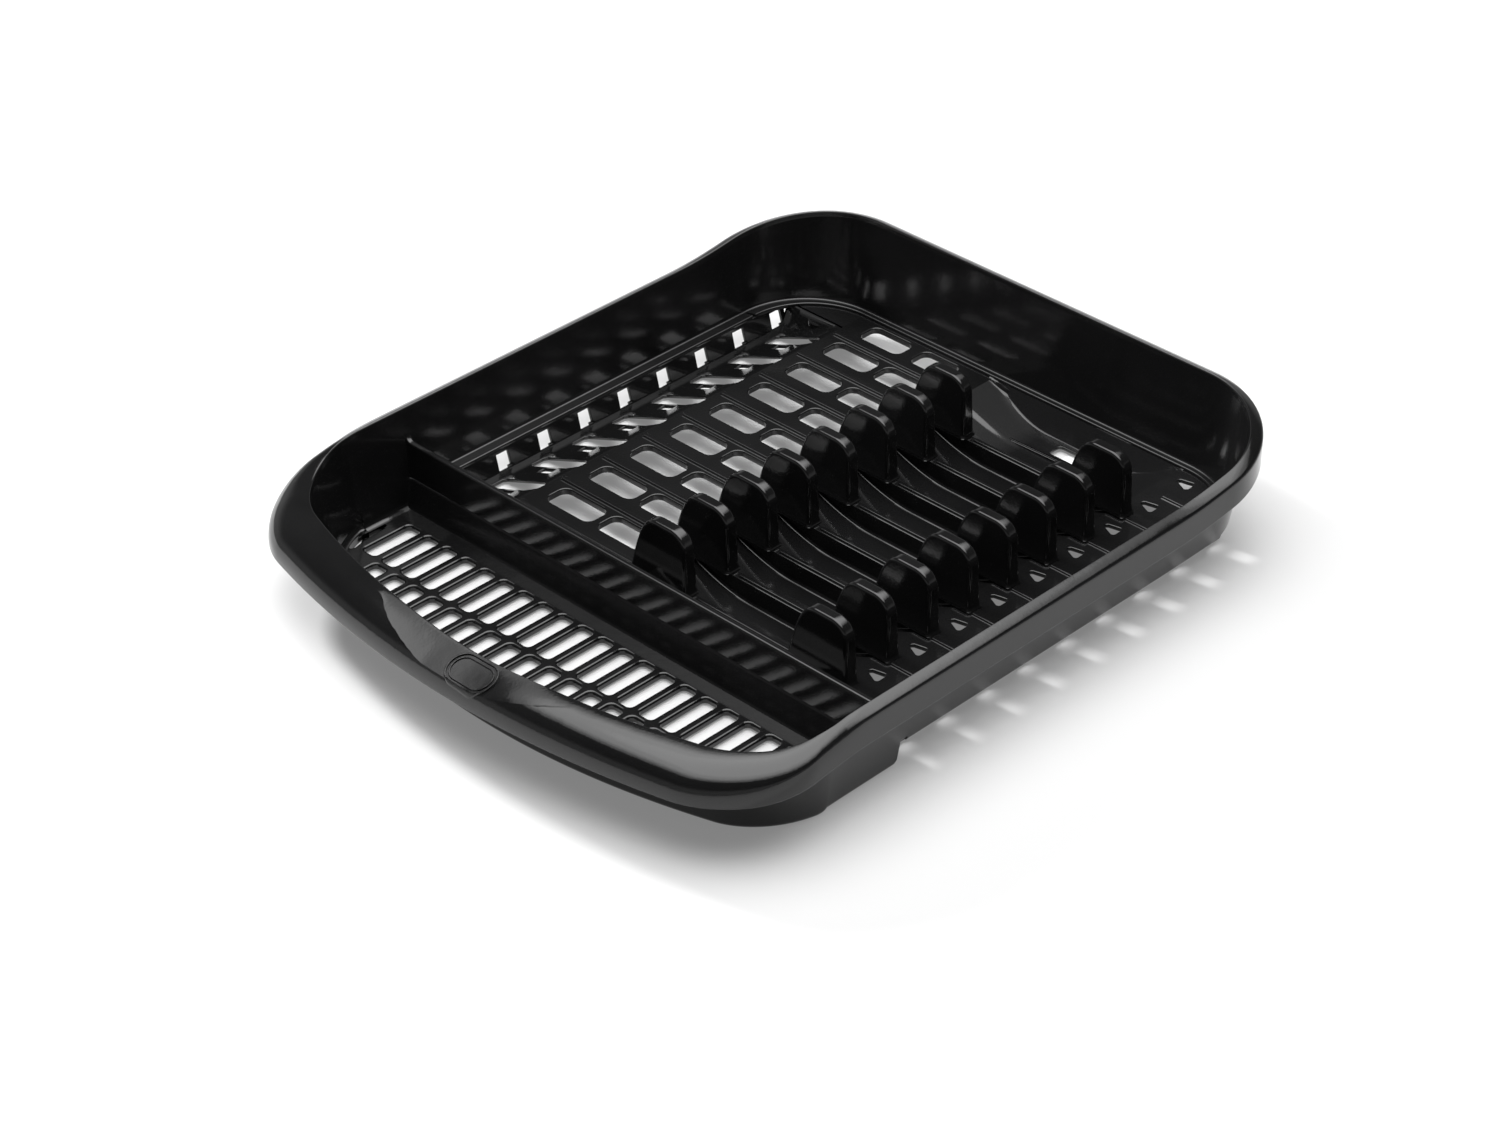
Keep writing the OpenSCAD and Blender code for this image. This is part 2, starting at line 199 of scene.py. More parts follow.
def plate(loops, thick, r, steps=3):
    """A flat plate with holes, its upper face at z = 0, every edge rounded by r."""
    curve = bpy.data.curves.new("plate", "CURVE")
    curve.dimensions = "2D"
    curve.fill_mode = "BOTH"
    curve.extrude = thick / 2 - r
    curve.bevel_depth = r
    curve.bevel_resolution = steps
    curve.offset = -r
    for loop in loops:
        spline = curve.splines.new("POLY")
        spline.points.add(len(loop) - 1)
        for point, (x, y) in zip(spline.points, loop):
            point.co = (x, y, 0, 1)
        spline.use_cyclic_u = True
    holder = bpy.data.objects.new("plate", curve)
    bpy.context.scene.collection.objects.link(holder)
    graph = bpy.context.evaluated_depsgraph_get()
    mesh = bpy.data.meshes.new_from_object(holder.evaluated_get(graph))
    bm = bmesh.new()
    bm.from_mesh(mesh)
    bpy.data.objects.remove(holder)
    bpy.data.curves.remove(curve)
    bpy.data.meshes.remove(mesh)
    bmesh.ops.remove_doubles(bm, verts=bm.verts, dist=1e-4)
    if len(loops) == 1:
        bmesh.ops.dissolve_limit(bm, angle_limit=math.radians(0.3), verts=bm.verts,
                                 edges=bm.edges, delimit={"NORMAL"})
    bmesh.ops.translate(bm, vec=(0, 0, -thick / 2), verts=bm.verts)
    return bm


def cut_at(bm, axis, places):
    """Adds edges to a mesh along planes across an axis, so that it can bend there."""
    normal = Vector((axis == 0, axis == 1, axis == 2))
    for place in places:
        geom = bm.verts[:] + bm.edges[:] + bm.faces[:]
        bmesh.ops.bisect_plane(bm, geom=geom, plane_co=normal * place, plane_no=normal,
                               dist=1e-4)


def trim(bm, axis, place, keep_above):
    """Cuts a mesh off along a plane across an axis and closes it."""
    normal = Vector((axis == 0, axis == 1, axis == 2))
    geom = bm.verts[:] + bm.edges[:] + bm.faces[:]
    bmesh.ops.bisect_plane(bm, geom=geom, plane_co=normal * place, plane_no=normal,
                           dist=1e-4, clear_inner=keep_above, clear_outer=not keep_above)
    edges = [e for e in bm.edges if e.is_boundary]
    if edges:
        bmesh.ops.holes_fill(bm, edges=edges, sides=0)


def warp(bm, function):
    """Moves every vertex to function(x, y, z)."""
    for v in bm.verts:
        v.co = Vector(function(*v.co))


def rounded(x0, x1, y0, y1, r, n=5):
    """Outline of a rectangle with rounded corners."""
    return (arc(x1 - r, y1 - r, r, 0, 90, n) + arc(x0 + r, y1 - r, r, 90, 180, n)
            + arc(x0 + r, y0 + r, r, 180, 270, n) + arc(x1 - r, y0 + r, r, 270, 360, n))


def boss(x0, x1, y0, y1, z, high, foot=0.9, edge=0.7, ground=None):
    """A low raised bar: concave fillet at its foot, rounded top edges, closed below."""
    steps = [(foot * 0.6, -1.0), (foot, -0.02)]
    steps += [(foot * (1 - math.sin(a)), foot * (1 - math.cos(a)) * high / (foot + edge))
              for a in (math.radians(v) for v in (30, 60, 90))]
    top = high - edge * high / (foot + edge)
    steps += [(-edge * (1 - math.cos(a)), top + (high - top) * math.sin(a))
              for a in (math.radians(v) for v in (0, 30, 60, 90))]
    rings = []
    for grow, dz in steps:
        loop = rounded(x0 - grow, x1 + grow, y0 - grow, y1 + grow, 0.9 + grow, 4)
        rings.append([(x, y, z + dz + (ground(x) if ground else 0.0)) for x, y in loop])
    return sweep(rings)


# ---------------------------------------------------------------- materials

def moulded_plastic(name, base, dust, rough, grain):
    """Gloss black moulding: faint flow marks, dust, fine scuffs, worn edges and orange peel."""
    mat = bpy.data.materials.new(name)
    mat.use_nodes = True
    nodes, links = mat.node_tree.nodes, mat.node_tree.links
    shader = nodes["Principled BSDF"]
    place = nodes.new("ShaderNodeTexCoord").outputs["Object"]

    def noise(scale, detail, distortion=0.0):
        node = nodes.new("ShaderNodeTexNoise")
        node.inputs["Scale"].default_value = scale
        node.inputs["Detail"].default_value = detail
        node.inputs["Distortion"].default_value = distortion
        links.new(place, node.inputs["Vector"])
        return node.outputs["Fac"]

    def ramp(source, low, high, dark, light):
        node = nodes.new("ShaderNodeMapRange")
        for socket, value in (("From Min", low), ("From Max", high),
                              ("To Min", dark), ("To Max", light)):
            node.inputs[socket].default_value = value
        links.new(source, node.inputs["Value"])
        return node.outputs["Result"]

    def mix(factor, a, b):
        node = nodes.new("ShaderNodeMix")
        node.data_type = "RGBA"
        for socket, value in ((0, factor), (6, a), (7, b)):
            if isinstance(value, tuple):
                node.inputs[socket].default_value = (*value, 1)
            else:
                links.new(value, node.inputs[socket])
        return node.outputs[2]

    def add(a, b, operation="ADD"):
        node = nodes.new("ShaderNodeMath")
        node.operation = operation
        links.new(a, node.inputs[0])
        if isinstance(b, float):
            node.inputs[1].default_value = b
        else:
            links.new(b, node.inputs[1])
        return node.outputs["Value"]

    flow = noise(14, 3, 0.6)
    specks = ramp(noise(900, 2), 0.66, 0.8, 0.0, 0.5)
    edges = ramp(nodes.new("ShaderNodeNewGeometry").outputs["Pointiness"], 0.53, 0.62, 0.0, 0.35)
    tone = mix(ramp(flow, 0.35, 0.65, 0.0, 1.0), base, tuple(c * 1.5 for c in base))
    tone = mix(specks, tone, dust)
    links.new(mix(edges, tone, dust), shader.inputs["Base Color"])
    scuffs = ramp(noise(60, 8, 2.0), 0.55, 0.75, 0.0, 0.03)
    gloss = add(ramp(flow, 0.3, 0.7, rough, rough + 0.025), scuffs)
    links.new(add(gloss, ramp(specks, 0.0, 0.5, 0.0, 0.06)), shader.inputs["Roughness"])
    height = add(noise(grain, 2), add(noise(grain * 0.12, 1), 3.0, "MULTIPLY"))
    bump = nodes.new("ShaderNodeBump")
    bump.inputs["Strength"].default_value = 0.05
    bump.inputs["Distance"].default_value = 0.0004
    links.new(height, bump.inputs["Height"])
    links.new(bump.outputs["Normal"], shader.inputs["Normal"])
    shader.inputs["IOR"].default_value = 1.5
    return mat


black = moulded_plastic("moulded_black", (0.0042, 0.0042, 0.0043), (0.009, 0.009, 0.0092),
                        0.09, 700)
badge_black = moulded_plastic("badge_black", (0.0035, 0.0035, 0.0036), (0.010, 0.010, 0.0102),
                              0.2, 1500)


# ---------------------------------------------------------------- rim and handle

LIP_R = 1.1
BULGE = 2.5                      # roundness of the handle: 2 is an ellipse
RECESS = (-66.0, 80.0)           # left and right end of the thumb recess
JOIN_DROP = 3.0                  # the walls start this far below the inner edge
FOOT_R = 0.9                     # radius of the lower outer edge
FACE_STEPS, CUT_STEPS = 56, 12   # steps across the outer face and across the recess
RECESS_DISH = 1.6                # depth of the recess at its inner edge
RECESS_FALL = 0.37               # slope of the recess towards the front
RECESS_FADE = 0.25               # share of the reach below which the recess fades in


def outward(p, q):
    """Distance and direction from one point of a plan to another."""
    w = math.hypot(q[0] - p[0], q[1] - p[1])
    return w, ((q[0] - p[0]) / w, (q[1] - p[1]) / w)


def place_ring(p, d, section):
    """Stands a section of (distance out, height) points on a point of a plan."""
    return [(p[0] + d[0] * u, p[1] + d[1] * u, z) for u, z in section]


def recess_reach(x):
    """How far the thumb recess reaches across the handle at x, from 0 to 1."""
    left, right = RECESS
    if not left < x < right:
        return 0.0
    t = (x - left) / (right - left)
    return min(1.0, 1.05 * math.sin(math.pi * t) ** 0.55)


def resample(points, n):
    """n + 1 points evenly spaced along a line of points."""
    steps = [0.0]
    for a, b in zip(points, points[1:]):
        steps.append(steps[-1] + math.hypot(b[0] - a[0], b[1] - a[1]))
    out, j = [], 0
    for i in range(n + 1):
        s = steps[-1] * i / n
        while j < len(points) - 2 and steps[j + 1] < s:
            j += 1
        t = (s - steps[j]) / max(1e-9, steps[j + 1] - steps[j])
        out.append((lerp(points[j][0], points[j + 1][0], t),
                    lerp(points[j][1], points[j + 1][1], t)))
    return out


def inner_lean(z, zin):
    """How far out the inner face of a wall lies at height z below a rim at zin."""
    return -8.8 * (zin - z) / (zin - LEDGE_Z)


def outer_lean(z, zin):
    return SKIN - 0.17 * (zin - z)


def side_outline(w, zin, drop, low):
    """Sloping top face, a tight crease and an upright band."""
    def top(u):
        return zin - drop * (u / w) ** 1.4
    a, b, c = (w - 1.3, top(w - 1.3)), (w, top(w)), (w, zin - drop - 1.3)
    line = [(lerp(LIP_R, a[0], i / 16), top(lerp(LIP_R, a[0], i / 16))) for i in range(17)]
    line += [((1 - t) ** 2 * a[0] + 2 * t * (1 - t) * b[0] + t * t * c[0],
              (1 - t) ** 2 * a[1] + 2 * t * (1 - t) * b[1] + t * t * c[1])
             for t in (i / 8 for i in range(1, 9))]
    return line + [(w, low + FOOT_R)]


def handle_outline(w, zin, low):
    """One full curve from the lip to the lower edge."""
    start = math.asin((LIP_R / w) ** (BULGE / 2))
    line = []
    for i in range(49):
        a = lerp(start, math.pi / 2, i / 48)
        line.append((w * math.sin(a) ** (2 / BULGE),
                     low + FOOT_R + (zin - low - FOOT_R) * math.cos(a) ** (2 / BULGE)))
    return line


def rim_ring(p, q):
    """Section of the rim and handle between a point of the inner and of the outer plan."""
    w, d = outward(p, q)
    zin, share = rim_in_z(p[1]), crease_share(p[1])
    drop = crease_drop(p[1])
    low = zin - drop - band_height(p[1])
    face = [(lerp(a[0], b[0], share), lerp(a[1], b[1], share))
            for a, b in zip(resample(side_outline(w, zin, drop, low), FACE_STEPS),
                            resample(handle_outline(w, zin, low), FACE_STEPS))]
    reach = recess_reach(p[0]) if share > 0.5 else 0.0
    k = 1
    while k < 48 and face[k][0] < 0.9 * w * max(reach, RECESS_FADE):
        k += 1
    cut = resample(face[:k + 1], CUT_STEPS)
    rest = resample(face[k:], FACE_STEPS - CUT_STEPS)
    dish = 0.0
    if reach:
        (u0, z0), (u1, z1) = cut[0], cut[-1]
        along = (p[0] - RECESS[0]) / (RECESS[1] - RECESS[0])
        dish = RECESS_DISH * min(1.0, reach) * (1 - (2 * along - 1) ** 2)
        fall = min(1.0, 0.25 + 0.75 * reach) * RECESS_FALL
        part = (1 - smooth((along - 0.5) / 0.5)) * min(1.0, reach / RECESS_FADE)
        dish *= part
        flat = [(lerp(u0, u1, i / CUT_STEPS), lerp(z0, z1, i / CUT_STEPS))
                for i in range(CUT_STEPS + 1)]
        cut = [(lerp(r[0], f[0], part),
                lerp(r[1], min(f[1], zin - dish - fall * (f[0] - u0)), part))
               for r, f in zip(cut, flat)]
    lip = [(u, z - dish) for u, z in arc(LIP_R, zin - LIP_R, LIP_R, 180, 90, 5)[:-1]]
    section = [(inner_lean(zin - JOIN_DROP, zin), zin - JOIN_DROP)] + lip + cut + rest[1:]
    section += arc(w - FOOT_R, low + FOOT_R, FOOT_R, 0, -90, 4)[1:]
    hollow = lerp(w - SKIN, w * 0.62, share)
    section += [(w - SKIN + 0.4, low), (w - SKIN, low + 0.4),
                (w - SKIN, lerp(zin - drop - 2.0, low + 5.0, share)),
                (hollow - 1.0, zin - drop - SKIN - 0.6 - share),
                (min(2.6, w * 0.4), zin - JOIN_DROP)]
    return place_ring(p, d, section)


def rim_piece(name, inner, outer):
    """Adds a stretch of the rim and returns its surface for ray casts."""
    bm = sweep([rim_ring(p, q) for p, q in zip(inner, outer)])
    tree = BVHTree.FromBMesh(bm)
    add_piece(name, [bm], [name], black, sharp=30)
    return tree


handle_surface = rim_piece("front_handle", front_run(RIM), front_run(BAND))
rim_piece("rim_back", back_run(RIM), back_run(BAND))
for side_name, sign in (("left", -1), ("right", 1)):
    rim_piece(f"rim_{side_name}", side_run(RIM, sign, SIDE_FRONT_Y, SIDE_BACK_Y, 60),
              side_run(BAND, sign, SIDE_FRONT_Y, SIDE_BACK_Y, 60))


# ---------------------------------------------------------------- walls

SKIRT_STEP_Y = -79.0             # the skirt's lower edge steps down here


def front_wall_ring(p, q):
    """Wall of the cutlery compartment; it goes down to the worktop as the front foot."""
    d = outward(p, q)[1]
    zin = rim_in_z(p[1])
    start = zin - JOIN_DROP
    foot_r, fillet = 4.0, 4.0
    lift = 0.0
    if p[1] > FOOT_END_Y - foot_r:
        lift = foot_r - math.sqrt(max(0.0, foot_r ** 2 - (p[1] - FOOT_END_Y + foot_r) ** 2))
    inner_x = inner_lean(CUTLERY_Z + fillet, zin)
    section = [(inner_lean(start, zin), start)]
    section += arc(inner_x - fillet, CUTLERY_Z + fillet, fillet, 0, -90, 8)
    section += [(inner_x - fillet, 0.5), (inner_x - fillet + 0.5, 0.0)]
    outer_x = outer_lean(foot_r, zin)
    section += arc(outer_x - foot_r, foot_r, foot_r, -90, 0, 8)
    section += [(outer_lean(start, zin), start)]
    return place_ring(p, d, [(u, max(z, lift)) for u, z in section])


def upper_wall_ring(p, q):
    """Wall above the ledge, with the skirt outside."""
    d = outward(p, q)[1]
    zin = rim_in_z(p[1])
    start = zin - JOIN_DROP
    fillet, skirt_r = 1.4, 2.2
    skirt_z = 16.3 if p[1] < SKIRT_STEP_Y else 14.5
    inner_x = inner_lean(LEDGE_Z + fillet, zin)
    section = [(inner_lean(start, zin), start)]
    section += arc(inner_x - fillet, LEDGE_Z + fillet, fillet, 0, -90, 6)
    section += [(inner_x - fillet, skirt_z)]
    outer_x = outer_lean(skirt_z + skirt_r, zin)
    section += arc(outer_x - skirt_r, skirt_z + skirt_r, skirt_r, -90, 0, 6)
    section += [(outer_lean(start, zin), start)]
    return place_ring(p, d, section)


def wall_rings(inner, outer, ring):
    return [ring(p, q) for p, q in zip(inner, outer)]


front_in = (side_run(RIM, -1, FOOT_END_Y, SIDE_FRONT_Y, 40)[:-1] + front_run(RIM)
            + side_run(RIM, 1, SIDE_FRONT_Y, FOOT_END_Y, 40)[1:])
front_out = (side_run(BAND, -1, FOOT_END_Y, SIDE_FRONT_Y, 40)[:-1] + front_run(BAND)
             + side_run(BAND, 1, SIDE_FRONT_Y, FOOT_END_Y, 40)[1:])
add_piece("wall_front", [sweep(wall_rings(front_in, front_out, front_wall_ring))],
          ["wall_front"], black)
add_piece("wall_back", [sweep(wall_rings(back_run(RIM), back_run(BAND), upper_wall_ring))],
          ["wall_back"], black)
for side_name, sign in (("left", -1), ("right", 1)):
    places = [FOOT_END_Y, SKIRT_STEP_Y - 0.01, SKIRT_STEP_Y]
    places += [lerp(SKIRT_STEP_Y, SIDE_BACK_Y, i / 50) for i in range(1, 51)]
    inner = [(sign * RIM[0], y) for y in places]
    outer = [(sign * BAND[0], y) for y in places]
    add_piece(f"wall_{side_name}", [sweep(wall_rings(inner, outer, upper_wall_ring))],
              [f"wall_{side_name}"], black)


# ---------------------------------------------------------------- ledge and low walls

LEDGE_OUT_X = 174.7
LOW_WALL_TOP_X = 167.3
LOW_WALL_FOOT_X = 163.0
GUTTER_Z = 3.5
GUTTER_TURN_Y = 186.0


def ledge_ring(outer, inner):
    """Ledge from the foot of the upper wall to the rounded top of the low wall."""
    w, d = outward(inner, outer)
    section = [(w + 1.2, LEDGE_Z - 2.4), (w + 1.2, LEDGE_Z)]
    section += arc(1.0, LEDGE_Z - 1.0, 1.0, 90, 180, 5)
    section += [(0.0, LEDGE_Z - 2.4)]
    return place_ring(inner, d, section)


def ledge_line(grow):
    """Plan of the back of the basin: the foot of the wall, or the top of the low wall."""
    half, back, r = (LEDGE_OUT_X, 217.2, 52.0) if grow else (LOW_WALL_TOP_X, BACK_FLOOR_Y, 44.8)
    return back_run((half, 0, back, 0, r, 0))


for side_name, sign in (("left", -1), ("right", 1)):
    ledge = sweep([ledge_ring((sign * LEDGE_OUT_X, y), (sign * LOW_WALL_TOP_X, y))
                   for y in (FOOT_END_Y, 40.0, SIDE_BACK_Y)])
    add_piece(f"ledge_{side_name}", [ledge], [f"ledge_{side_name}"], black)
ledge = sweep([ledge_ring(p, q) for p, q in zip(ledge_line(True), ledge_line(False))])
add_piece("ledge_back", [ledge], ["ledge_back"], black)


def low_wall(sign):
    """Leaning low wall with a window in each channel, a small step in its lower corner."""
    low, high = 1.2, LEDGE_Z - 1.6
    loops = [[(FOOT_END_Y, low), (GUTTER_END_Y + 4, low), (GUTTER_END_Y + 4, high),
              (FOOT_END_Y, high)]]
    for k in range(-1, 8):
        y = -38.8 + PITCH * k + 1.5
        loops.append([(y - 4.6, 3.1), (y + 2.6, 3.1), (y + 2.6, 4.6), (y + 4.6, 4.6),
                      (y + 4.4, 13.6), (y - 4.4, 13.6)])
    bm = plate(loops, 2.2, 0.4, 2)

    def stand(y, z, depth):
        return (sign * (lerp(LOW_WALL_FOOT_X, LOW_WALL_TOP_X, (z - low) / (high - low)) - depth),
                y, z)
    warp(bm, stand)
    return bm


for side_name, sign in (("left", -1), ("right", 1)):
    add_piece(f"window_wall_{side_name}", [low_wall(sign)], [f"window_wall_{side_name}"], black)


# ---------------------------------------------------------------- plate section floors

def bend(x, start, end, low, high, r):
    """Height of a slope from low to high between two places, with rounded ends."""
    def ease(t):
        return 0.0 if t < -r else (t + r) ** 2 / (4 * r) if t < r else t
    end -= math.copysign(r, end - start)
    grade = (high - low) / abs(end - start)
    way = math.copysign(1, end - start)
    return low + grade * (ease(way * (x - start)) - ease(way * (x - end)))


def gutter(sign, foot, top):
    """Gutter bottom and its slope up to the platform; it climbs away at the back."""
    loops = [rounded(*sorted((sign * (LOW_WALL_FOOT_X + 2.5), top - sign * 4)),
                     FOOT_END_Y, GUTTER_END_Y + 9, 1)]
    if sign < 0:
        for i in range(1, RIBS):
            y = rib_y(i + 1)
            loops.append([(-157.2, y - 20.3), (-156.2, y - 22.2), (-128.5, y - 21.6),
                          (-125, y - 19.8), (-122.9, y - 16.8), (-122.6, y - 11.4),
                          (-123.6, y - 9.6), (-126, y - 9.0), (-155.6, y - 9.9),
                          (-157.2, y - 11.4)])
            loops.append(rounded(-143.5, -133.5, y - 29.6, y - 24.4, 1.0, 3))
    bm = plate(loops, 2.2, 0.6, 2)
    trim(bm, 0, top, sign > 0)
    cut_at(bm, 0, [lerp(foot + 3 * sign, foot - 3 * sign, i / 8) for i in range(9)])
    cut_at(bm, 0, [lerp(top, top + 5 * sign, i / 6) for i in range(1, 7)])
    cut_at(bm, 1, [GUTTER_TURN_Y + i for i in range(9)])

    def shape(x, y, z):
        base = bend(x, foot, top, GUTTER_Z, PLATFORM_Z, 2.2)
        return (x, y, z + lerp(base, PLATFORM_Z, smooth((y - GUTTER_TURN_Y) / 8)))
    warp(bm, shape)
    return bm


add_piece("gutter_left", [gutter(-1, -157.0, PLATFORM_LEFT[0])], ["gutter_left"], black)
add_piece("gutter_right", [gutter(1, 159.0, PLATFORM_RIGHT[1])], ["gutter_right"], black)


def platform(x0, x1, holes, thick):
    """Flat floor between two places along X, with holes."""
    bm = plate([rounded(x0 - 4, x1 + 4, FOOT_END_Y, BACK_FLOOR_Y + 3, 1)] + holes, thick, 0.9)
    trim(bm, 0, x0, True)
    trim(bm, 0, x1, False)
    bmesh.ops.translate(bm, vec=(0, 0, PLATFORM_Z), verts=bm.verts)
    return bm


DECK_SLOTS = ((-112.5, -77.5), (-72.2, -38.0))      # ends of the two slots between two ribs
BACK_SLOTS = ((-108.5, -77.5), (-68.5, -40.5))      # and of the two behind the last rib
DRAIN_X = 130.5
slots = []
for i in range(1, RIBS):
    y = rib_y(i + 1)
    slots += [rounded(x0, x1, y - 21.3, y - 4.8, 5.0, 6) for x0, x1 in DECK_SLOTS]
slots += [rounded(x0, x1, 193.8, 209.4, 4.6, 6) for x0, x1 in BACK_SLOTS]
add_piece("platform_left_deck", [platform(*PLATFORM_LEFT, slots, 4.2)],
          ["platform_left_deck"], black)


def drain_hole(x, y):
    """Rounded triangle, pointed towards the platform's inner side."""
    points = []
    for cx, cy, r, a0, a1 in ((x - 3.4, y - 0.2, 1.6, 118, 238), (x + 2.8, y - 3.2, 1.4, -122, 0),
                              (x + 2.8, y + 1.4, 1.4, 0, 118)):
        points += arc(cx, cy, r, a0, a1, 5)
    return points


holes = [drain_hole(DRAIN_X, rib_y(i) + PITCH / 2 + 1) for i in range(1, RIBS + 1)]
add_piece("platform_right_deck", [platform(*PLATFORM_RIGHT, holes, 2.6)],
          ["platform_right_deck"], black)


def corner_deck(sign, top):
    """Flat deck that fills a rear corner behind the gutter."""
    r = 40.0
    cx, cy = sign * (LOW_WALL_TOP_X + 1 - r), BACK_FLOOR_Y + 1 - r
    loop = [(top - sign * 4, GUTTER_TURN_Y + 6), (top - sign * 4, BACK_FLOOR_Y + 1)]
    turn = arc(abs(cx), cy, r, 90, 0, 16)
    loop += [(sign * x, y) for x, y in turn] + [(sign * (LOW_WALL_TOP_X + 1), GUTTER_TURN_Y + 6)]
    bm = plate([loop], SKIN, 0.5, 2)
    trim(bm, 0, top, sign > 0)
    trim(bm, 1, GUTTER_TURN_Y + 8, True)
    bmesh.ops.translate(bm, vec=(0, 0, PLATFORM_Z), verts=bm.verts)
    return bm


add_piece("corner_deck_left", [corner_deck(-1, PLATFORM_LEFT[0])], ["corner_deck_left"], black)
add_piece("corner_deck_right", [corner_deck(1, PLATFORM_RIGHT[1])], ["corner_deck_right"], black)


# ---------------------------------------------------------------- channels and ribs

def dip(x):
    """Height of a channel's floor: it cradles the edge of a plate."""
    if x < CHANNEL_FLOOR[0]:
        t = (CHANNEL_FLOOR[0] - x) / (CHANNEL_FLOOR[0] - PLATFORM_LEFT[1])
    elif x > CHANNEL_FLOOR[1]:
        t = (x - CHANNEL_FLOOR[1]) / (PLATFORM_RIGHT[0] - CHANNEL_FLOOR[1])
    else:
        t = 0.0
    t = max(0.0, min(1.0, t))
    return PLATFORM_Z - (PLATFORM_Z - DEEP_Z) * math.sin(math.radians(90 * (1 - t)))


BEND_X = ([lerp(PLATFORM_LEFT[1], CHANNEL_FLOOR[0], i / 16) for i in range(1, 17)]
          + [lerp(CHANNEL_FLOOR[1], PLATFORM_RIGHT[0], i / 16) for i in range(16)])
CRADLE_Y = rib_y(RIBS)


def cradle_rise(x, y):
    """The last channel's ramp lies a little higher, with a fold running across it."""
    high = 1.3 * (1 - smooth((x - PLATFORM_LEFT[1]) / 70)) if x < 60 else 0.0
    fold = 214 - (x - PLATFORM_LEFT[1] + 2) * 0.415
    reach = max(0.0, min(1.0, (y - fold) / max(2.0, 208 - fold)))
    fade = smooth((x - PLATFORM_LEFT[1]) / 14)
    return high * fade * (0.5 * smooth((y - CRADLE_Y + 7.5) / 5) + 0.5 * reach)


def channel(i):
    """Floor between two ribs, dipped into a cradle, with a drain slot in its deep part."""
    low = FOOT_END_Y if i == 1 else rib_y(i - 1) + RIB_W / 2 - 1
    high = BACK_FLOOR_Y - 1 if i == RIBS + 1 else rib_y(i) - RIB_W / 2 + 1
    front, back = low + 1, high - 1
    if i == RIBS:
        high, back = CRADLE_Y, 999.0
    if i == RIBS + 1:
        low, front = CRADLE_Y, -999.0
    loops = [rounded(PLATFORM_LEFT[1] - 4, PLATFORM_RIGHT[0] + 4, low - 3 * (i > RIBS),
                     high + 3 * (i == RIBS), 0.6, 2)]
    if i > RIBS:
        loops.append(rounded(43.5, 70, 189.3, 199.2, 2.5, 4))
    elif i > 1:
        loops.append(rounded(44, 70, low + 3.5, low + 11, 2.5, 4))
    bm = plate(loops, 2.0, 0.5, 2)
    trim(bm, 0, PLATFORM_LEFT[1], True)
    trim(bm, 0, PLATFORM_RIGHT[0], False)
    if i >= RIBS:
        trim(bm, 1, CRADLE_Y, i > RIBS)
    cut_at(bm, 0, BEND_X)
    fillet = 2.2
    cut_at(bm, 1, [front + fillet * t for t in (0.15, 0.4, 0.7, 1.0)])
    cut_at(bm, 1, [back - fillet * t for t in (0.15, 0.4, 0.7, 1.0)])
    if i >= RIBS:
        cut_at(bm, 1, [CRADLE_Y - 7.5 + j for j in range(6)])
        cut_at(bm, 1, [188 + 2.2 * j for j in range(11)])

    def shape(x, y, z):
        near = max(0.0, min(y - front, back - y))
        d = max(0.0, fillet - near)
        rise = fillet - math.sqrt(max(0.0, fillet ** 2 - d ** 2))
        rise += cradle_rise(x, y) if i >= RIBS else 0.0
        return (x, y, z + min(PLATFORM_Z, dip(x) + rise))
    warp(bm, shape)
    return bm


for i in range(1, RIBS + 2):
    add_piece(f"channel_{i}", [channel(i)], [f"channel_{i}"], black)


def back_wall():
    """Leaning face between the last channel's floor and the back ledge."""
    rings = []
    for j in range(61):
        x = lerp(PLATFORM_LEFT[1] - 2, PLATFORM_RIGHT[0] + 2, j / 60)
        z = min(PLATFORM_Z, dip(x) + cradle_rise(x, BACK_FLOOR_Y - 6))
        foot = BACK_FLOOR_Y - 0.8 * (PLATFORM_Z - z)
        rings.append([(x, foot - 1.5, z - 0.2), (x, foot + 0.4, z + 0.5),
                      (x, BACK_FLOOR_Y + 0.2, PLATFORM_Z + 0.2),
                      (x, BACK_FLOOR_Y + 1.8, PLATFORM_Z),
                      (x, BACK_FLOOR_Y + 1.8, min(PLATFORM_Z, z) - 2), (x, foot - 1.5, z - 2)])
    return sweep(rings)


add_piece("low_wall_back", [back_wall()], ["low_wall_back"], black)


def on_edge(bm, y):
    """Turns a plate drawn in X and Z upright, centred on a place along the rack."""
    lows = [v.co.z for v in bm.verts]
    mid = (min(lows) + max(lows)) / 2
    warp(bm, lambda x, z, depth: (x, y + mid - depth, z))
    return bm


def rib_wall(y):
    """Upright wall that fills the space below a rib's top down to the cradle's floor."""
    ends = (PLATFORM_LEFT[1] - 3, PLATFORM_RIGHT[0] + 3)
    line = [(x, min(PLATFORM_Z - 1.9, dip(x) - 1.8)) for x in [ends[0]] + BEND_X + [ends[1]]]
    line += [(ends[1], PLATFORM_Z + 0.1), (ends[0], PLATFORM_Z + 0.1)]
    return on_edge(plate([line], RIB_W, 0.5, 2), y)


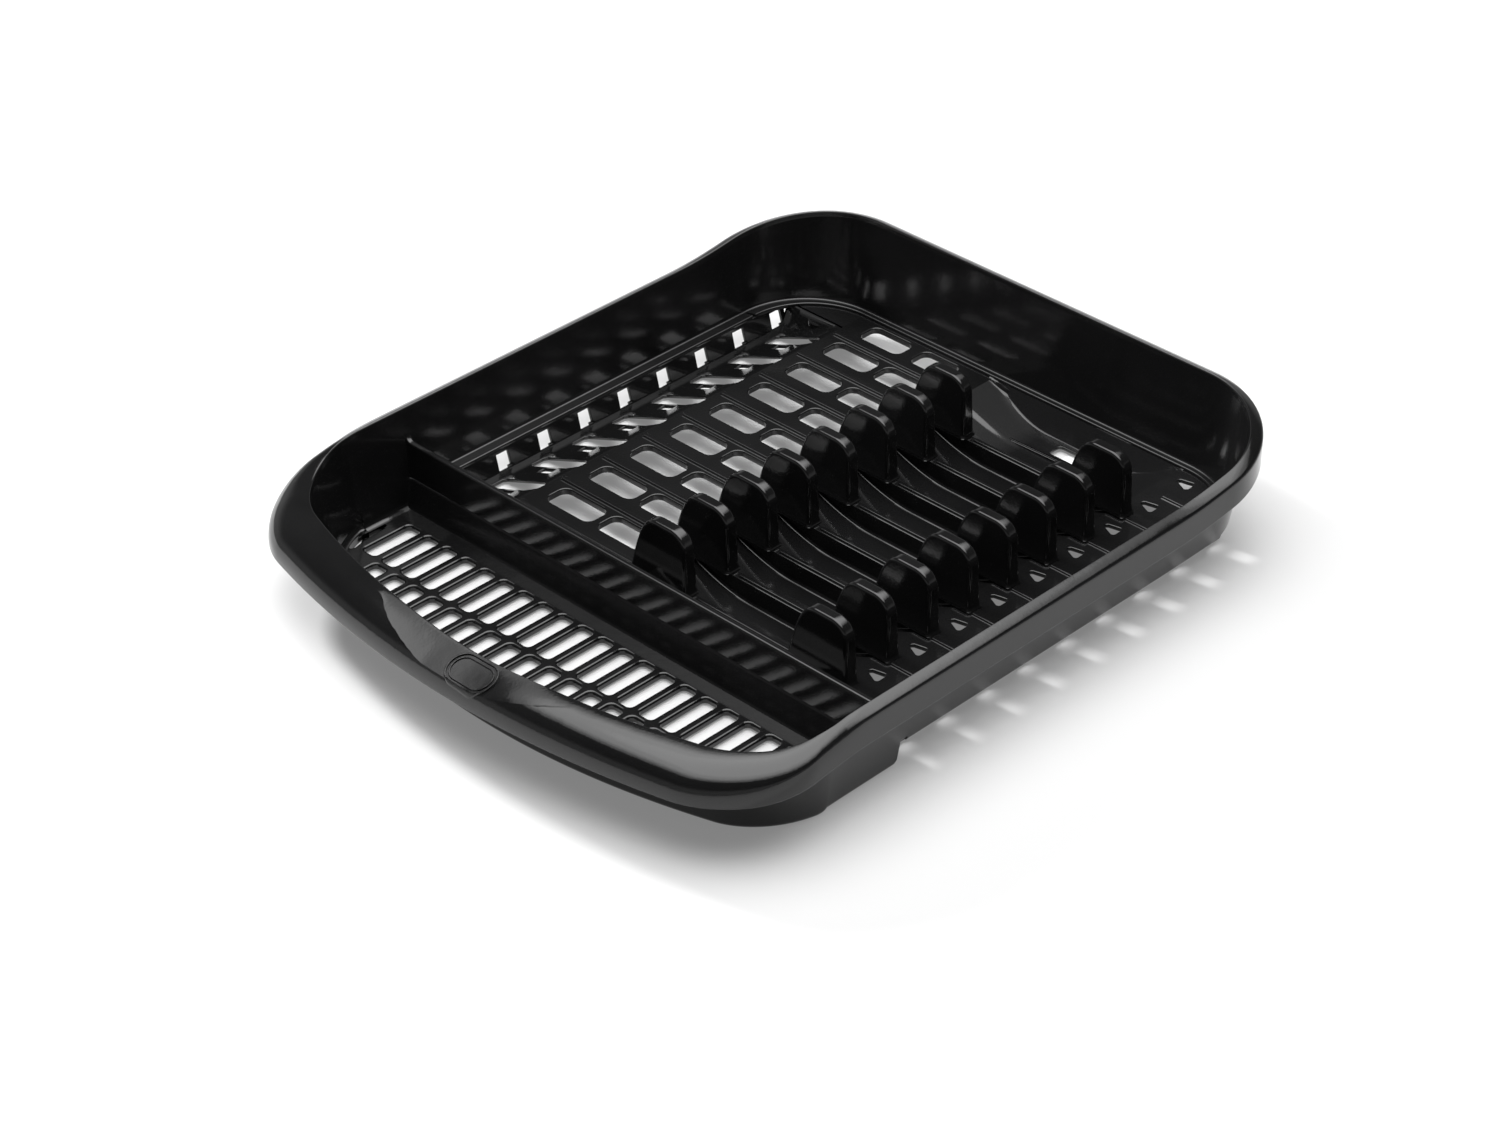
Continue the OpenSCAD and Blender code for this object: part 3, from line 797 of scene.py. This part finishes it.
def rib(i):
    """Wall between two channels, with the raised bars that run on over the platforms."""
    y = rib_y(i)
    left_bar = (PLATFORM_LEFT[0] + 2, FIN_ROWS[0] + 6, -1.6, 1.6, 1.3)
    middle_bar = (17.5, FIN_ROWS[1] + 3, -1.6, 1.2, 1.5)
    right_bar = (FIN_ROWS[1] + FIN_W + 1.4, 148.6, -4.2, 2.0, 1.2)
    if i == RIBS:
        bars = [left_bar, right_bar]
        parts = [boss(19.0, 96.0, y - 2.8, y - 1.6, 0.1, 0.7, 0.5, 0.4, dip)]
    else:
        bars = [left_bar, middle_bar, right_bar]
        parts = [rib_wall(y)]
    for x0, x1, y0, y1, high in bars:
        parts.append(boss(x0, x1, y + y0, y + y1, PLATFORM_Z, high))
    return parts


for i in range(1, RIBS + 1):
    add_piece(f"rib_{i}", rib(i), [f"rib_{i}"], black)


# ---------------------------------------------------------------- fins

def fin(x, i):
    """Upright fin: leaning left edge, rounded top, tapered, with a flared foot."""
    right, high, sink = FIN_W - 1, FIN_H, 0.8
    outline = [(0, -sink)]
    for t in (i / 12 for i in range(13)):
        outline.append((3 * t * (1 - t) ** 2 * 4.5 + 3 * t * t * (1 - t) * 8.0 + t ** 3 * 19.0,
                        3 * t * (1 - t) ** 2 * 19.0 + 3 * t * t * (1 - t) * high + t ** 3 * high))
    outline += arc(right - 11, high - 11, 11, 90, 4, 12)
    outline += [(FIN_W, 0), (FIN_W, -sink)]
    bm = plate([outline], FIN_T + 0.6, 2.1, 4)
    bm = on_edge(bm, 0)
    cut_at(bm, 2, [0.0, 0.5, 1.2, 2.2, 4.0])

    def shape(px, py, pz):
        h = max(0.0, pz)
        flare = 0.9 * math.exp(-h / 0.9)
        scale = lerp(1.0, 0.8, h / high)
        return (x + px + flare * (1 if px > FIN_W / 2 else -1),
                rib_y(i) + py * scale + math.copysign(flare, py), PLATFORM_Z + 0.9 + pz)
    warp(bm, shape)
    return bm


for row_name, x in (("left", FIN_ROWS[0]), ("right", FIN_ROWS[1])):
    for i in range(1, FINS + 1):
        add_piece(f"fin_{row_name}_{i}", [fin(x, i)], [f"fin_{row_name}_{i}"], black)


# ---------------------------------------------------------------- cutlery compartment

def foot_plan(grow):
    """Plan of the cutlery floor where it meets the front wall."""
    line = []
    for p, q in zip(front_run(RIM, 20, 4, 40), front_run(BAND, 20, 4, 40)):
        d = outward(p, q)[1]
        u = inner_lean(CUTLERY_Z, rim_in_z(p[1])) - 4 + grow
        line.append((p[0] + d[0] * u, p[1] + d[1] * u))
    return line


CUTLERY_PITCH = 15.3
CUTLERY_ROWS = ((-147.5, -113.8, 21), (-184.5, -151.3, 19))     # near y, far y, slots
SHORT_SLOT_X, SHORT_SLOT_Y = 120, -172.0     # slots of the front row are shorter beyond this


def cutlery_floor():
    """Slotted floor with two rows of slots and a curved slot at each end."""
    edge = foot_plan(2.5)
    back = -99.0
    loops = [[(edge[0][0], back)] + edge + [(edge[-1][0], back)]]
    for row, (near, far, count) in enumerate(CUTLERY_ROWS):
        for i in range(count):
            x = (i - (count - 1) / 2) * CUTLERY_PITCH - 1
            start = SHORT_SLOT_Y if row and abs(x) > SHORT_SLOT_X else near
            loops.append(rounded(x - 5.0, x + 5.0, start, far, 2.6, 4))
    for sign in (-1, 1):
        end = [(166.3, -126), (167.5, -124.3), (171, -124.3), (172.2, -126), (171.6, -134),
               (169.6, -143), (166.5, -150.5), (164.5, -151.5), (163.6, -149.5), (165.4, -141)]
        loops.append([(sign * x, y) for x, y in end])
    bm = plate(loops, 4.3, 1.4, 4)
    bmesh.ops.translate(bm, vec=(0, 0, CUTLERY_Z), verts=bm.verts)
    return bm


add_piece("cutlery_floor", [cutlery_floor()], ["cutlery_floor"], black)


FRONT_POINTS, TOP_POINTS = 6, 18     # points on the divider's front face, and up to its back


def divider():
    """Upside-down channel with a crease low on its cutlery side, flared into the walls."""
    outer = [(-104.6, CUTLERY_Z - 0.4), (-103.4, CUTLERY_Z + 0.2), (-102.6, CUTLERY_Z + 1.4),
             (-98.4, 19.6), (-97.9, 20.4), (-97.2, 20.9)]
    outer += arc(-94.1, 40.1, 1.4, 170, 90, 5) + arc(-92.9, 40.1, 1.4, 90, 10, 5)
    outer += [(-90.4, 20.9), (-85.0, 17.2), (-84.2, 16.4), (FOOT_END_Y + 1.5, PLATFORM_Z - 0.2)]
    inner = [(FOOT_END_Y + 1.5, PLATFORM_Z - 2.4), (-86.2, 14.6), (-92.6, 19.4), (-93.2, 38.6),
             (-93.9, 38.6), (-95.4, 20.2), (-101.0, CUTLERY_Z - 2.0), (-104.6, CUTLERY_Z - 2.0)]
    rings = []
    reach = (0.0, 0.5, 1.2, 2.2, 4.0)            # the flare's places, measured from the wall
    for side, order in ((-1, reach), (1, reach[::-1])):
        for back in order:
            lift = 2.6 * (1 - back / reach[-1]) ** 2
            ring = []
            for j, (y, z) in enumerate(outer + inner):
                x = RIM[0] + inner_lean(z, RIM_Z) + 0.4 - back
                spread = lift * (0.5 if z < 38 else 1.0)
                if j < FRONT_POINTS:
                    ring.append((side * x, y - spread * 0.7, z))
                elif j < TOP_POINTS:
                    ring.append((side * x, y, z + spread))
                else:
                    ring.append((side * x, y, z))
            rings.append(ring)
    return sweep(rings)


add_piece("divider", [divider()], ["divider"], black, sharp=30)


# ---------------------------------------------------------------- badge and rear feet

BADGE_X, BADGE_Y = 15.5, -223.0
BADGE_HALF, BADGE_R = 16.0, 9.4
REAR_FOOT = (140, 197)


def badge():
    """Blank oval with a raised double ring, lying on the surface of the thumb recess."""
    def stadium(inset):
        r, shift = BADGE_R - inset, BADGE_HALF - BADGE_R
        return (arc(BADGE_X + shift, BADGE_Y, r, -90, 90, 20)
                + arc(BADGE_X - shift, BADGE_Y, r, 90, 270, 20))

    def on_handle(x, y, z):
        hit = handle_surface.ray_cast(Vector((x, y, 90)), Vector((0, 0, -1)))[0]
        return (x, y, (hit.z if hit else 40.0) + z)
    parts = []
    for loops, lift in (([stadium(0), stadium(0.9)], 1.1), ([stadium(2.2), stadium(3.0)], 1.0),
                        ([stadium(0.8)], 0.3)):
        bm = plate(loops, 1.4, 0.12, 2)
        cut_at(bm, 0, [BADGE_X - BADGE_HALF + 2 * j for j in range(17)])
        cut_at(bm, 1, [BADGE_Y - 10 + 2 * j for j in range(11)])
        bmesh.ops.translate(bm, vec=(0, 0, lift), verts=bm.verts)
        warp(bm, on_handle)
        parts.append(bm)
    return parts


add_piece("handle_badge", badge(), ["handle_badge"], badge_black)


def foot(sign):
    """Round foot below a corner of the platforms."""
    top = PLATFORM_Z - SKIN
    profile = [(0.01, 0.0), (7.4, 0.0)] + arc(7.4, 1.6, 1.6, -90, 0, 5)
    profile += [(9.0, top), (0.01, top)]
    x, y = sign * REAR_FOOT[0], REAR_FOOT[1]
    rings = []
    for j in range(40):
        a = 2 * math.pi * j / 40
        rings.append([(x + r * math.cos(a), y + r * math.sin(a), z) for r, z in profile])
    return sweep(rings, closed=True)


for side_name, sign in (("left", -1), ("right", 1)):
    add_piece(f"rear_foot_{side_name}", [foot(sign)], [f"rear_foot_{side_name}"], black)


# ---------------------------------------------------------------- floor, light, camera

OVERHEAD = ((2.8, 27), (2.4, 20), (2.1, 12), (1.6, 5))     # stacked discs: width m, power W
OVERHEAD_PLACE = (-0.05, 0.2, 1.6)
FLOOR_HALF = 6.0


def floor():
    """Plain pale floor."""
    bm = bmesh.new()
    bmesh.ops.create_grid(bm, x_segments=8, y_segments=8, size=FLOOR_HALF)
    mesh = bpy.data.meshes.new("floor")
    bm.to_mesh(mesh)
    bm.free()
    obj = bpy.data.objects.new("floor", mesh)
    bpy.context.scene.collection.objects.link(obj)
    mat = bpy.data.materials.new("pale_floor")
    mat.use_nodes = True
    shader = mat.node_tree.nodes["Principled BSDF"]
    shader.inputs["Base Color"].default_value = (0.5, 0.5, 0.5, 1)
    shader.inputs["Roughness"].default_value = 0.7
    shader.inputs["Specular IOR Level"].default_value = 0.2
    shader.inputs["Emission Color"].default_value = (1, 1, 1, 1)
    shader.inputs["Emission Strength"].default_value = 0.2
    mesh.materials.append(mat)
    return obj


floor()


def area_light(name, place, target, size, power):
    """Round soft light that shines from a place at a target."""
    data = bpy.data.lights.new(name, "AREA")
    data.shape = "DISK"
    data.size = size
    data.energy = power
    light = bpy.data.objects.new(name, data)
    bpy.context.scene.collection.objects.link(light)
    light.location = place
    light.rotation_euler = (Vector(target) - Vector(place)).to_track_quat("-Z", "Y").to_euler()
    return light


for i, (size, power) in enumerate(OVERHEAD):
    x, y, z = OVERHEAD_PLACE
    area_light(f"overhead_{i + 1}", (x, y, z + i * 0.01), (x, y, 0), size, power)
area_light("left_strip", (-1.5, -0.12, 0.95), (0, 0, 0), 0.3, 42).visible_glossy = False

# The studio glows more near the horizon than above.
world = bpy.data.worlds.new("studio")
world.use_nodes = True
tree = world.node_tree
height = tree.nodes.new("ShaderNodeSeparateXYZ")
tree.links.new(tree.nodes.new("ShaderNodeTexCoord").outputs["Generated"], height.inputs["Vector"])
glow = tree.nodes.new("ShaderNodeMapRange")
glow.interpolation_type = "SMOOTHSTEP"
for socket, value in (("From Min", 0.2), ("From Max", 0.45), ("To Min", 0.38), ("To Max", 0.06)):
    glow.inputs[socket].default_value = value
tree.links.new(height.outputs["Z"], glow.inputs["Value"])
tree.links.new(glow.outputs["Result"], tree.nodes["Background"].inputs["Strength"])
tree.nodes["Background"].inputs["Color"].default_value = (1, 1, 1, 1)
bpy.context.scene.world = world

AZIMUTH, ELEVATION = math.radians(44.31), math.radians(34.04)
LENS = 87.38
CAMERA_PLACE = (1.14167, -1.17806, 1.10784)
towards_camera = Vector((math.sin(AZIMUTH) * math.cos(ELEVATION),
                         -math.cos(AZIMUTH) * math.cos(ELEVATION), math.sin(ELEVATION)))
camera_data = bpy.data.cameras.new("camera")
camera_data.sensor_width = 36.0
camera_data.lens = LENS
camera = bpy.data.objects.new("camera", camera_data)
bpy.context.scene.collection.objects.link(camera)
camera.location = CAMERA_PLACE
camera.rotation_euler = (-towards_camera).to_track_quat("-Z", "Y").to_euler()
bpy.context.scene.camera = camera
bpy.context.scene.view_settings.view_transform = "Standard"
